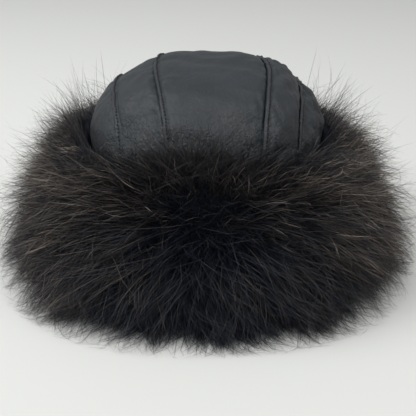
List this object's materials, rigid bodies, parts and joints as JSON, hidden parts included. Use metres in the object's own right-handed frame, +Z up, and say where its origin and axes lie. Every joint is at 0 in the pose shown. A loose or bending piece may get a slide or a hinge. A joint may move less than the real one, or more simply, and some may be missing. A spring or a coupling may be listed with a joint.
{
  "type": "cossack hat",
  "caption": "Hat with a domed leather crown of joined panels inside a deep cuff of long fur, lying on its fur with the head opening below.",
  "frame": {"origin": "on the surface that the hat lies on, below the middle of the crown", "axes": "+Z up through the crown's top, -Y towards the hat's front, +X to the viewer's right"},
  "size_m": [0.323, 0.338, 0.1501],
  "materials": {
    "crown_leather": "smooth, soft sheen",
    "cuff_fur": "long soft hair"
  },
  "bodies": {
    "root": {"crown_centre_panel": "crown_leather", "crown_flank_left": "crown_leather", "crown_flank_right": "crown_leather", "crown_side_left": "crown_leather", "crown_side_right": "crown_leather", "fur_cuff": "cuff_fur"}
  },
  "joints": []
}
